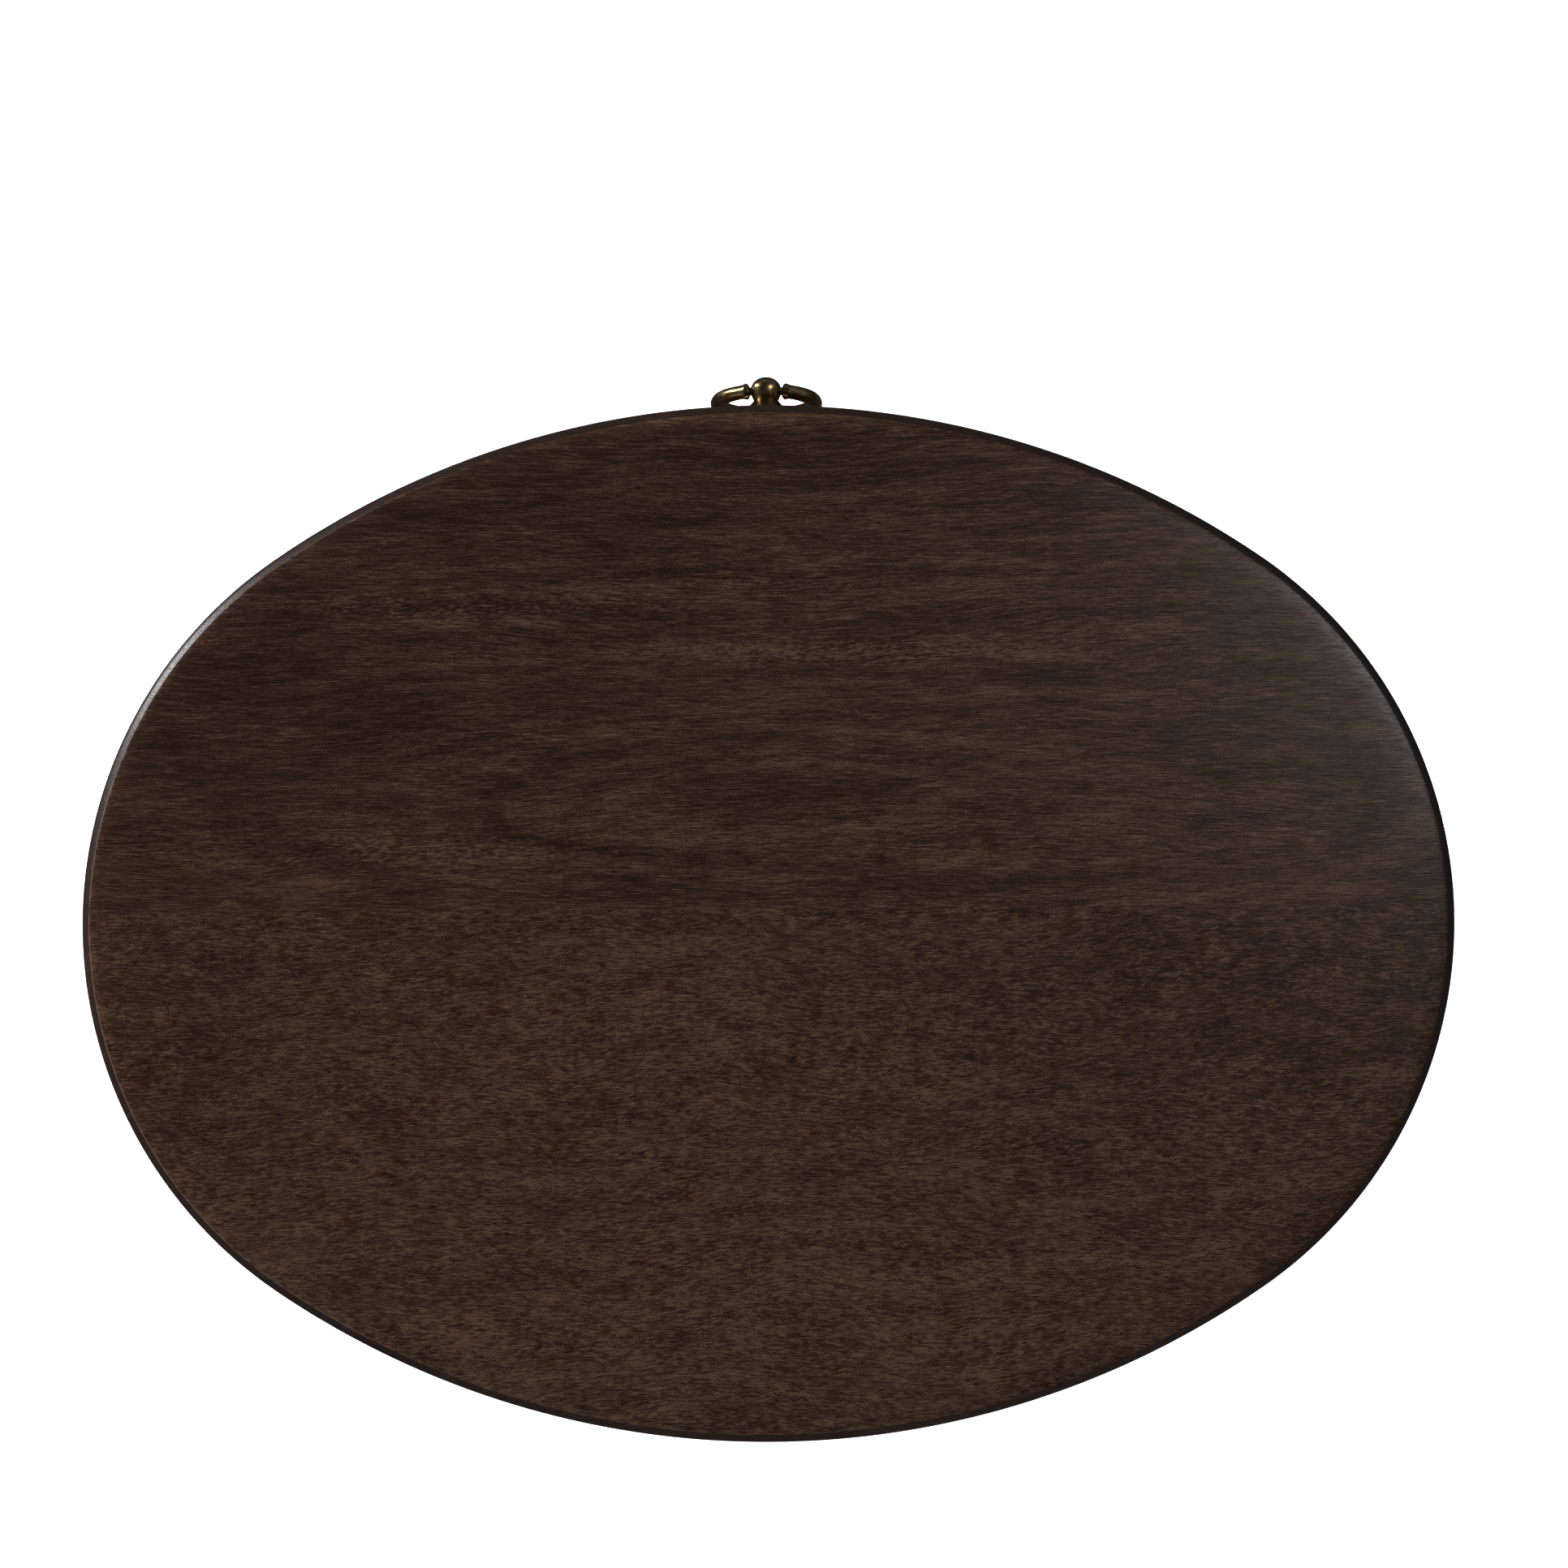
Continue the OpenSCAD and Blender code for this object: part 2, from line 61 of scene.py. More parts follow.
def box_mm(node):
    """Lowest and highest corner of a CAD node."""
    low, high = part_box(node)
    return low / MM, high / MM


# ---- sizes of the CAD model ----

END_RADIUS = 197.0
GLUE_OFFSET = 6.5
GLUE_ANGLE = math.radians(0.13)
FRAME_INSET = 3.0
RAIL_THICK = 18.0
LEG_WIDTH = 36.0
FOOT_WIDTH = 22.0
TAPER_START = 10.0

front_board_low, front_board_high = box_mm("front_top_board")
rear_board_low, rear_board_high = box_mm("rear_top_board")
TOP_Z = front_board_high.z
UNDER_Z = front_board_low.z
HALF_LENGTH = rear_board_high.x
HALF_DEPTH = 230.5
MIDDLE_Y = rear_board_high.y - HALF_DEPTH

# The oval: end arcs centred at (+-END_X, 0) and long arcs centred at (0, +-SIDE_K), which
# meet where the normal is CORNER from the table's depth
END_X = HALF_LENGTH - END_RADIUS
rise = HALF_DEPTH - END_RADIUS
SIDE_K = (END_X ** 2 - rise ** 2) / (2 * rise)
SIDE_RADIUS = HALF_DEPTH + SIDE_K
CORNER = math.atan(END_X / SIDE_K)
END_OUTER = END_RADIUS - FRAME_INSET
SIDE_OUTER = SIDE_RADIUS - FRAME_INSET

# The arris between the flat of the top and its rolled edge: how far in and how far down
ARRIS_INSET = 4.7
ARRIS_DROP = 0.98
ARRIS_Z = TOP_Z - ARRIS_DROP


# ---- meshes ----

def make_piece(node, points, faces, body):
    """A closed smooth-shaded mesh from points in millimetres, in place of a CAD node."""
    name = node + "_look"
    mesh = bpy.data.meshes.new(name)
    mesh.from_pydata([Vector(p) * MM for p in points], [], faces)
    build = bmesh.new()
    build.from_mesh(mesh)
    bmesh.ops.recalc_face_normals(build, faces=build.faces)
    build.to_mesh(mesh)
    build.free()
    mesh.shade_smooth()
    mesh.set_sharp_from_angle(angle=math.radians(35))
    piece = bpy.data.objects.new(name, mesh)
    scene.collection.objects.link(piece)
    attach(piece, body)
    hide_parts(node)
    return piece


def soften(piece, width, segments=3, weld=False):
    """Rounds the sharp edges of a piece with modifiers; the mesh itself stays as it is.

    weld first joins points that coincide, for the meshes that come from the CAD.
    """
    if weld:
        merge = piece.modifiers.new("merge", "WELD")
        merge.merge_threshold = 0.00001
    bevel = piece.modifiers.new("round", "BEVEL")
    bevel.width = width * MM
    bevel.segments = segments
    bevel.limit_method = "ANGLE"
    bevel.angle_limit = math.radians(40)
    bevel.harden_normals = not weld
    if weld:
        piece.modifiers.new("normals", "WEIGHTED_NORMAL")


def skin(rings):
    """Points and faces of a closed solid through rings of equal length."""
    count = len(rings[0])
    points = [p for ring in rings for p in ring]
    faces = []
    for i in range(len(rings) - 1):
        for j in range(count):
            k = (j + 1) % count
            faces.append((i * count + j, i * count + k,
                          (i + 1) * count + k, (i + 1) * count + j))
    faces.append(tuple(range(count)))
    faces.append(tuple((len(rings) - 1) * count + j for j in range(count)))
    return points, faces


def lathe(profile, place, steps=96):
    """A turned solid: profile is (radius, height) from one pole to the other."""
    points, faces, rows = [], [], []
    for radius, height in profile:
        count = 1 if radius < 1e-6 else steps
        rows.append(range(len(points), len(points) + count))
        for j in range(count):
            a = 2 * math.pi * j / count
            points.append(place(radius * math.cos(a), radius * math.sin(a), height))
    for lower, upper in zip(rows, rows[1:]):
        for j in range(steps):
            k = (j + 1) % steps
            if len(lower) == 1:
                faces.append((lower[0], upper[j], upper[k]))
            elif len(upper) == 1:
                faces.append((lower[j], lower[k], upper[0]))
            else:
                faces.append((lower[j], lower[k], upper[k], upper[j]))
    return points, faces


# ---- top ----

def outline(theta, inset):
    """Point of the oval, moved in by inset, where its normal points along theta."""
    nx, ny = math.cos(theta), math.sin(theta)
    if math.atan2(abs(nx), abs(ny)) <= CORNER:
        centre, radius = (0.0, -math.copysign(SIDE_K, ny)), SIDE_RADIUS
    else:
        centre, radius = (math.copysign(END_X, nx), 0.0), END_RADIUS
    return centre[0] + (radius - inset) * nx, centre[1] + (radius - inset) * ny


def beyond_joint(theta, inset):
    """How far that point lies behind the glue joint."""
    x, y = outline(theta, inset)
    return y + GLUE_OFFSET - x * math.tan(GLUE_ANGLE)


def joint_theta(start, end, inset):
    """Where the outline meets the glue joint, between a point before and one behind it."""
    for _ in range(48):
        middle = (start + end) / 2
        if beyond_joint(middle, inset) < 0:
            start = middle
        else:
            end = middle
    return (start + end) / 2


def top_profile():
    """(inset, drop) from the flat over the arris and the rolled edge to the underside."""
    sanded = [(35, 0), (25, 0.03), (17, 0.12), (12, 0.24), (9.5, 0.34), (7.8, 0.45),
              (6.6, 0.57), (5.8, 0.69), (5.2, 0.81), (4.85, 0.90)]
    start, squeeze = math.radians(38), 0.6
    radius = ARRIS_INSET / (1 - math.sin(start))
    steps = 12
    rolled = []
    for i in range(steps + 1):
        t = start + (math.pi / 2 - start) * i / steps
        rolled.append((radius * (1 - math.sin(t)),
                       ARRIS_DROP + squeeze * radius * (math.cos(start) - math.cos(t))))
    lower_radius = 1.5
    lower = []
    for i in range(5):
        t = math.pi / 2 * i / 4
        lower.append((lower_radius * (1 - math.cos(t)),
                      TOP_Z - UNDER_Z - lower_radius * (1 - math.sin(t))))
    return sanded + rolled + lower


def top_board(node, side):
    """Half of the top; side is -1 for the front board and 1 for the rear one."""
    samples = 320
    points, faces = [], []
    profile = top_profile()
    for inset, drop in profile:
        right = joint_theta(-0.5, 0.5, inset)
        left = joint_theta(math.pi + 0.5, math.pi - 0.5, inset)
        if side < 0:
            left -= 2 * math.pi
        for j in range(samples + 1):
            x, y = outline(right + (left - right) * j / samples, inset)
            points.append((x, y + MIDDLE_Y, TOP_Z - drop))
    row = samples + 1
    for i in range(len(profile) - 1):
        for j in range(samples):
            faces.append((i * row + j, i * row + j + 1,
                          (i + 1) * row + j + 1, (i + 1) * row + j))
    last = len(profile) - 1
    faces.append(tuple(range(row)))
    faces.append(tuple(last * row + j for j in range(row)))
    faces.append(tuple([i * row for i in range(last + 1)]
                       + [i * row + samples for i in range(last, -1, -1)]))
    return make_piece(node, points, faces, "table")


# ---- rails, drawer front and legs ----

def arc_bar(node, body, on_end, sign, end_gap):
    """A curved bar along an end arc or a long arc, cut parallel to the legs' side faces.

    end_gap is how far each end stays from the middle of its leg.
    """
    low, high = box_mm(node)
    outer = END_OUTER if on_end else SIDE_OUTER
    reach = math.pi / 2 - CORNER if on_end else CORNER
    corners = [(outer - RAIL_THICK, low.z), (outer, low.z),
               (outer, high.z), (outer - RAIL_THICK, high.z)]
    steps = 96
    rings = []
    for i in range(steps + 1):
        ring = []
        for radius, z in corners:
            angle = (2 * i / steps - 1) * (reach - math.asin(end_gap / radius))
            along, out = radius * math.sin(angle), radius * math.cos(angle)
            if on_end:
                ring.append((sign * (END_X + out), MIDDLE_Y + along, z))
            else:
                ring.append((along, MIDDLE_Y + sign * (out - SIDE_K), z))
        rings.append(ring)
    points, faces = skin(rings)
    piece = make_piece(node, points, faces, body)
    soften(piece, 1.0)
    return piece


def leg(node, sign_x, sign_y):
    """A leg square to the oval where its arcs meet, tapering from just below the rails."""
    low, high = box_mm(node)
    taper_top = box_mm("rear_rail")[0].z - TAPER_START
    rings = []
    for z in (low.z, taper_top, high.z):
        t = min(1, (z - low.z) / (taper_top - low.z))
        width = FOOT_WIDTH + (LEG_WIDTH - FOOT_WIDTH) * t
        ring = []
        for x, y in ((-width / 2, 0), (width / 2, 0), (width / 2, -width),
                     (-width / 2, -width)):
            along = x * math.cos(CORNER) + (END_OUTER + y) * math.sin(CORNER)
            out = -x * math.sin(CORNER) + (END_OUTER + y) * math.cos(CORNER)
            ring.append((sign_x * (END_X + along), MIDDLE_Y + sign_y * out, z))
        rings.append(ring)
    points, faces = skin(rings)
    piece = make_piece(node, points, faces, "table")
    soften(piece, 1.3)
    return piece


# ---- pull ----

# Heights of the post are measured along its axis from the line of the ring's pins
BALL_RADIUS = 7.0
BALL_OFFSET = 0.75
DOME_HEIGHT = 5.65
BALL_LENGTH = 8.6
NECK_RADIUS = 5.6
FLARE_RADIUS = 12.0
FLARE_LENGTH = 6.0
FOOT_RIM = 1.8
ROSETTE_RADIUS = 19.0
RING_RADIUS = 23.0
BAR_TOP = 3.0
BAR_BOTTOM = 3.9
COLLAR_RADIUS = 3.8
COLLAR_X = 8.7
PIN_RADIUS = 1.85

post_low, post_high = box_mm("pull_post")
rosette_low, rosette_high = box_mm("pull_rosette")
PIVOT_Y = post_low.y + BALL_OFFSET + DOME_HEIGHT
PIVOT_Z = (post_low.z + post_high.z) / 2


def at_pull(x, y, z):
    """From the pull's frame, with Z out of the drawer front, to the row frame."""
    return x, PIVOT_Y - z, PIVOT_Z + y


def pull_post():
    """A ball with a low dome, drawn out to a neck, on a foot that flares to a rim."""
    arc = 20
    neck_angle = math.acos(NECK_RADIUS / BALL_RADIUS)
    neck_h = BALL_OFFSET - BALL_LENGTH * math.sin(neck_angle)
    profile = [(BALL_RADIUS * math.cos(math.pi / 2 * i / arc) if i < arc else 0.0,
                BALL_OFFSET + DOME_HEIGHT * math.sin(math.pi / 2 * i / arc))
               for i in range(arc, -1, -1)]
    profile += [(BALL_RADIUS * math.cos(neck_angle * i / arc),
                 BALL_OFFSET - BALL_LENGTH * math.sin(neck_angle * i / arc))
                for i in range(1, arc + 1)]
    profile += [(NECK_RADIUS + (FLARE_RADIUS - 0.5 - NECK_RADIUS) * (i / arc) ** 1.15,
                 neck_h - FLARE_LENGTH * i / arc) for i in range(1, arc + 1)]
    rim = neck_h - FLARE_LENGTH
    profile += [(FLARE_RADIUS - 0.15, rim - 0.15), (FLARE_RADIUS, rim - 0.5),
                (FLARE_RADIUS, rim - FOOT_RIM + 0.3), (FLARE_RADIUS - 0.3, rim - FOOT_RIM),
                (0.0, rim - FOOT_RIM)]
    points, faces = lathe(profile, at_pull)
    return make_piece("pull_post", points, faces, "drawer")


def pull_rosette():
    """A plate with an ogee from its rim up to a flat seat for the post."""
    back = PIVOT_Y - rosette_high.y
    front = PIVOT_Y - rosette_low.y
    height = front - back
    arc = 24
    inner = FLARE_RADIUS + 0.8
    rim = 1.2
    profile = [(0.0, front), (inner - 0.25, front), (inner, front - 0.12)]
    for i in range(arc, -1, -1):
        t = i / arc
        radius = ROSETTE_RADIUS - 0.1 - (ROSETTE_RADIUS - 0.1 - inner) * t
        profile.append((radius + (0.25 if i == arc else 0),
                        back + rim + (height - rim - 0.35) * (1 - math.cos(math.pi * t)) / 2))
    profile += [(ROSETTE_RADIUS, back + rim - 0.25), (ROSETTE_RADIUS, back + 0.2),
                (ROSETTE_RADIUS - 0.2, back), (0.0, back)]
    points, faces = lathe(profile, at_pull, 128)
    return make_piece("pull_rosette", points, faces, "drawer")


def bar_radius(angle, end_angle):
    """Radius of the ring's bar, thickening downwards from a flared collar at each end."""
    down = (1 - math.cos(angle)) / 2
    from_end = math.degrees(min(angle, 2 * math.pi - angle) - end_angle)
    flare = max(0.0, 1 - from_end / 9)
    return (BAR_TOP + (BAR_BOTTOM - BAR_TOP) * down ** 0.7
            + (COLLAR_RADIUS - BAR_TOP) * flare ** 2)


def pull_ring():
    """The bar with its collars and pins, as one skin from pin end to pin end."""
    sides, steps = 40, 160
    end_angle = math.asin(COLLAR_X / RING_RADIUS)
    drop = math.sqrt(RING_RADIUS ** 2 - COLLAR_X ** 2)
    rings = []

    def section(x, z, tilt, radius):
        """A round section centred at (x, z); tilt turns its outward normal from X to Z."""
        ring = []
        for j in range(sides):
            b = 2 * math.pi * j / sides
            ring.append((x + radius * math.cos(b) * math.sin(tilt),
                         PIVOT_Y + radius * math.sin(b),
                         PIVOT_Z + z + radius * math.cos(b) * math.cos(tilt)))
        return ring

    def pin(sign):
        """Pin, neck and rounded face of one collar, from the pin's end outwards."""
        face = COLLAR_X - 0.25
        return [section(sign * x, 0, 0, r) for x, r in (
            (3.0, PIN_RADIUS - 0.3), (3.3, PIN_RADIUS), (face - 1.0, PIN_RADIUS),
            (face - 0.75, PIN_RADIUS + 0.25), (face - 0.55, 2.7), (face - 0.45, 2.95))]

    for i in range(steps + 1):
        t = i / steps
        angle = end_angle + (2 * math.pi - 2 * end_angle) * (
            t - math.sin(2 * math.pi * t) * 0.078)
        radius = bar_radius(angle, end_angle)
        if i in (0, steps):
            radius -= 0.35
        rings.append(section(RING_RADIUS * math.sin(angle),
                             RING_RADIUS * math.cos(angle) - drop, angle, radius))
    first, last = pin(1), pin(-1)
    points, faces = skin(first + rings + last[::-1])
    return make_piece("pull_ring", points, faces, "ring")


# ---- materials ----

class Field:
    """A number that varies over a surface. Arithmetic on it adds nodes to its shader."""

    def __init__(self, shader, socket):
        self.shader, self.socket = shader, socket

    def __add__(self, other):
        return self.shader.calc("ADD", self, other)

    def __sub__(self, other):
        return self.shader.calc("SUBTRACT", self, other)

    def __mul__(self, other):
        return self.shader.calc("MULTIPLY", self, other)

    __radd__ = __add__


class Shader:
    """A material under construction."""

    def __init__(self, name):
        self.material = bpy.data.materials.new(name)
        self.material.use_nodes = True
        self.tree = self.material.node_tree
        self.tree.nodes.clear()
        self.seed = 0.0

    def add(self, kind, inputs, **settings):
        """A node with its inputs set or linked."""
        node = self.tree.nodes.new("ShaderNode" + kind)
        for key, value in settings.items():
            setattr(node, key, value)
        for key, value in inputs.items():
            if isinstance(value, Field):
                value = value.socket
            if isinstance(value, bpy.types.NodeSocket):
                self.tree.links.new(value, node.inputs[key])
            else:
                node.inputs[key].default_value = value
        return node

    def calc(self, operation, *values):
        """The result of a Math node."""
        node = self.add("Math", dict(enumerate(values)), operation=operation)
        return Field(self, node.outputs[0])

    def place(self):
        """The point of the object, in millimetres."""
        where = self.add("TexCoord", {}).outputs["Object"]
        split = self.add("SeparateXYZ", {0: where})
        return [Field(self, split.outputs[i]) * 1000 for i in range(3)]

    def step(self, value, low, high):
        """A smooth step from 0 at low to 1 at high."""
        node = self.add("MapRange", {"Value": value, "From Min": low, "From Max": high},
                        interpolation_type="SMOOTHSTEP")
        return Field(self, node.outputs["Result"])

    def noise(self, point, length, width, detail=1.0, depth=None, rough=0.5):
        """Noise stretched along the first axis; about 0 on average, and mostly within 1."""
        self.seed += 17.3
        u, v, w = point
        vector = self.add("CombineXYZ", {
            0: u * (1 / length) + self.seed, 1: v * (1 / width) + self.seed * 0.7,
            2: w * (1 / (depth or width))}).outputs[0]
        node = self.add("TexNoise", {"Vector": vector, "Scale": 1.0, "Detail": detail,
                                     "Roughness": rough})
        return (Field(self, node.outputs[0]) - 0.5) * 10

    def hump(self, point, centre, half):
        """1 at the centre, falling smoothly to 0 at about twice the half size."""
        dx = (point[0] - centre[0]) * (1 / half[0])
        dy = (point[1] - centre[1]) * (1 / half[1])
        return self.calc("POWER", 0.5, dx * dx + dy * dy)

    def finish(self, colour, rough, height, depth_mm, **constants):
        """Joins the parts to a Principled shader; constants go on its own sockets."""
        bump = self.add("Bump", {"Height": height, "Strength": 1.0,
                                 "Distance": depth_mm * MM})
        inputs = {"Base Color": colour, "Roughness": rough, "Normal": bump.outputs[0]}
        inputs.update({k.replace("_", " "): v for k, v in constants.items()})
        surface = self.add("BsdfPrincipled", inputs)
        self.add("OutputMaterial", {"Surface": surface.outputs[0]})
        return self.material

    def mix(self, share, first, second):
        """A share of the second colour over the first."""
        node = self.add("Mix", {0: share, 6: first, 7: second}, data_type="RGBA")
        return node.outputs[2]

    def ramp(self, value, stops):
        """Colours at evenly spread values from -1 to 1."""
        node = self.add("ValToRGB", {0: value * 0.5 + 0.5})
        ramp = node.color_ramp
        ramp.interpolation = "B_SPLINE"
        for i, colour in enumerate(stops):
            spot = i / (len(stops) - 1)
            element = ramp.elements[i] if i < 2 else ramp.elements.new(spot)
            element.position = spot
            element.color = (*colour, 1)
        return node.outputs["Color"]


def tint(red, green, blue):
    """A linear colour from 8-bit display values."""
    def linear(value):
        value /= 255
        return value / 12.92 if value <= 0.04045 else ((value + 0.055) / 1.055) ** 2.4
    return tuple(linear(c) for c in (red, green, blue))


# From deep pores to the lightest fibres
WOOD_STOPS = [(0.0121, 0.0047, 0.0029), (0.0205, 0.0090, 0.0053), (0.0314, 0.0151, 0.0089),
              (0.0496, 0.0260, 0.0156), (0.0768, 0.0446, 0.0287)]
# Painted shade: the dark colour mixed over the top's rolled edge to darken it
EDGE_SHADE_COLOUR = (0.0062, 0.0040, 0.0031, 1)


def wood_finish(shader, tone, fibre, pores, stained=0.0):
    """Satin stained wood from its tone, raised fibres and sunken pores; stained is the share
    of painted shade mixed over its colour.
    """
    colour = shader.ramp(tone * 1.3, WOOD_STOPS)
    # Painted shade: a share of a dark colour mixed over the wood, used on the top's rolled
    # edge
    if stained:
        colour = shader.mix(stained, colour, EDGE_SHADE_COLOUR)
    rough = 0.31 + fibre * 0.02 + pores * 0.08 + stained * 0.06
    height = fibre * 0.35 - pores
    return shader.finish(colour, rough, height, 0.014, Specular_IOR_Level=0.27)


def top_finish(shader, tone, fibre, pores, point):
    """The arris has a painted highlight at the right end, and painted shade darkens the
    rolled edge below it.
    """
    x, _, z = point
    arris = (shader.step(z, ARRIS_Z + 0.20, ARRIS_Z + 0.08)
             - shader.step(z, ARRIS_Z + 0.02, ARRIS_Z - 0.22))
    # Painted highlight: a pale line along the arris, only at the right end (positive x),
    # where the key lamp lies
    arris_highlight = arris * shader.step(x, 130, 240) * (shader.noise(point, 45, 45, 2) * 0.4 + 0.9)
    # Painted shade: the rolled edge below the arris is darkened and mixed towards a dark
    # colour
    edge = shader.step(z, ARRIS_Z + 0.04, ARRIS_Z - 0.22)
    return wood_finish(shader, tone + arris_highlight - edge * 0.6, fibre, pores, edge * 0.65)


def add_patches_and_shade(shader, x, y, tone, patches):
    """The tone with soft darker and lighter patches: (centre, half size, weight) of each.
    Some are the wood's own clouds, some painted shade.
    """
    for (across, back), half, weight in patches:
        tone = tone + shader.hump((x, y), (across, MIDDLE_Y + back), half) * weight
    return tone


def front_board_wood():
    """Long straight fibres round an oval cathedral figure, with bands of light flecks."""
    s = Shader("stained_wood_front_board")
    x, y, z = s.place()
    centre = (-3.0, MIDDLE_Y - 53.0)
    broad = s.noise((x, y, z), 260, 60)
    wander = s.noise((x, y, z), 60, 14)
    v = y + broad * 2.6 + wander * 0.3
    dx = (x - centre[0]) * 0.2
    dy = v - centre[1]
    rings = s.calc("SQRT", dx * dx + dy * dy + 9.0)
    figure = s.noise((x, rings, z), 260, 8, 1)
    streaks = s.step(s.noise((x, rings, z), 110, 4.2, 1), 0.5, 1.6)
    cloud = s.noise((x, v, z), 60, 8, 1)
    patch = s.noise((x, v, z), 16, 2.4, 1)
    fibre = s.noise((x, v, z), 13.0, 0.62, 2)
    fine = s.noise((x, v, z), 3.0, 0.36, 1)
    pores = s.step(s.noise((x, v, z), 7.0, 0.5, 0), 0.7, 1.6)
    speck = s.noise((x, y, z), 0.8, 0.45, 0)
    slant = s.noise((x + y * 1.4, y * 1.2 - x * 0.3, z), 3.6, 1.3, 0)
    tone = (figure * 0.09 - streaks * 0.20 + cloud * 0.10 + patch * 0.08
            + fibre * 0.21 + fine * 0.17 + speck * 0.09 - pores * 0.36 + 0.08)
    flecks = slant * 0.20 + 0.08
    tone = add_patches_and_shade(s, x, y, tone, (
        ((145, -140.5), (85, 5.0), flecks), ((-30, -120.0), (95, 5.0), flecks),
        ((150, -33.0), (66, 8.0), flecks),
        # Painted shade: these two darker patches at the right end (positive x), which faces
        # the key lamp, cancel its stronger light there
        ((215, -135), (85, 42), -0.36), ((258, -78), (48, 34), -0.22),
        ((90, -192), (165, 36), -0.24), ((-115, -160), (50, 16), 0.06),
        ((110, -85), (110, 14), -0.10), ((-30, -62), (60, 7), -0.08),
        ((-232, -15), (55, 7), 0.20), ((-240, -70), (70, 60), -0.08)))
    return top_finish(s, tone, fibre, pores, (x, y, z))


def rear_board_wood():
    """Short wandering fibres, mottled, with a dark clouded zone on one side."""
    s = Shader("stained_wood_rear_board")
    x, y, z = s.place()
    broad = s.noise((x, y, z), 150, 60)
    wander = s.noise((x, y, z), 40, 12)
    v = y + broad * 2.4 + wander * 0.45
    cloud = s.noise((x, v, z), 38, 12, 1)
    mottle = s.noise((x, v, z), 5, 3.4, 1)
    fibre = s.noise((x, v, z), 6.0, 0.7, 2)
    fine = s.noise((x, v, z), 2.2, 0.42, 1)
    pores = s.step(s.noise((x, v, z), 4.2, 0.55, 0), 0.6, 1.5)
    speck = s.noise((x, y, z), 0.9, 0.55, 0)
    slant = s.noise((x * 0.9 + y * 0.5, y - x * 0.35, z), 3.5, 1.0, 1)
    crossed = s.step(s.noise((x, y, z), 22, 9, 1), 0.5, 1.5)
    tone = (cloud * 0.09 + mottle * 0.11 + fibre * 0.23 + fine * 0.18 + speck * 0.10
            + slant * crossed * 0.20 - pores * 0.44 + 0.16)
    tone = add_patches_and_shade(s, x, y, tone, (
        ((-200, 26), (92, 44), -0.27), ((0, 185), (240, 50), 0.12),
        # Painted shade: the last, darker patch at the right end (positive x), which faces the
        # key lamp, cancels its stronger light there
        ((-20, 62), (130, 30), 0.05), ((262, 42), (50, 34), -0.18)))
    return top_finish(s, tone, fibre, pores, (x, y, z))


def frame_wood(name, coordinates):
    """The stained wood of rails, legs and drawer front, with the grain along them."""
    s = Shader(name)
    u, v, w = coordinates(s, *s.place())
    bend = s.noise((u, v, w), 120, 30)
    v = v + bend * 3.0
    streaks = s.noise((u, v, w), 200, 5, 1)
    cloud = s.noise((u, v, w), 42, 8, 1)
    fibre = s.noise((u, v, w), 8, 0.95, 1)
    fine = s.noise((u, v, w), 4, 0.6, 1)
    pores = s.step(s.noise((u, v, w), 6, 0.8, 0), 0.7, 1.5)
    tone = streaks * 0.14 + cloud * 0.12 + fibre * 0.22 + fine * 0.15 - pores * 0.33
    return wood_finish(s, tone, fibre, pores)


# Coordinates along and across the grain. Opposite ends and sides start far apart in it, so
# that their figures differ.

def along_end_arc(s, x, y, z):
    out = s.calc("ABSOLUTE", x) - END_X
    angle = s.calc("ARCTAN2", y - MIDDLE_Y, out)
    radius = s.calc("SQRT", out * out + (y - MIDDLE_Y) * (y - MIDDLE_Y))
    return angle * END_OUTER + s.calc("SIGN", x) * 400, z, radius


def along_side_arc(s, x, y, z):
    out = s.calc("ABSOLUTE", y - MIDDLE_Y) + SIDE_K
    angle = s.calc("ARCTAN2", x, out)
    radius = s.calc("SQRT", out * out + x * x)
    return angle * SIDE_OUTER + s.calc("SIGN", y - MIDDLE_Y) * 500, z, radius


def upright(s, x, y, z):
    return z, x, y


def along_x(s, x, y, z):
    return x, y, z


def along_y(s, x, y, z):
    return y, x, z


def plain_wood(name, coordinates):
    """Planed, waxed wood of the drawer box and runners."""
    s = Shader(name)
    u, v, w = coordinates(s, *s.place())
    v = v + s.noise((u, v, w), 130, 35) * 4.0
    rings = s.noise((u, v, w), 260, 6, 1)
    cloud = s.noise((u, v, w), 60, 18, 1)
    fibre = s.noise((u, v, w), 14, 0.9, 1)
    pores = s.step(s.noise((u, v, w), 7, 0.7, 0), 0.9, 1.7)
    tone = rings * 0.3 + cloud * 0.2 + fibre * 0.2 - pores * 0.4
    colour = s.ramp(tone, [tint(*c) for c in (
        (100, 71, 44), (128, 95, 62), (149, 115, 78), (165, 133, 95), (176, 147, 111))])
    return s.finish(colour, 0.55 + fibre * 0.04, fibre * 0.3 - pores, 0.05)


def aged_brass():
    """Turned brass with fine lines round the pull's axis and a patchy patina."""
    s = Shader("aged_brass")
    point = s.place()
    patina = s.noise(point, 9, 9, 3, rough=0.6)
    stain = s.noise(point, 2.2, 2.2, 3, rough=0.65)
    grain = s.noise(point, 0.5, 0.5, 2)
    lines = s.noise(point, 12, 0.32, 2, depth=12)
    tone = patina * 0.24 + stain * 0.14 + lines * 0.07 + grain * 0.05
    colour = s.ramp(tone, [tint(*c) for c in (
        (84, 67, 43), (112, 93, 62), (138, 118, 81), (155, 135, 96), (172, 153, 114))])
    rough = 0.24 + patina * 0.02 + stain * 0.025 + lines * 0.015
    height = stain * 0.4 + grain * 0.3 + lines * 0.2
    return s.finish(colour, rough, height, 0.01, Metallic=1.0)


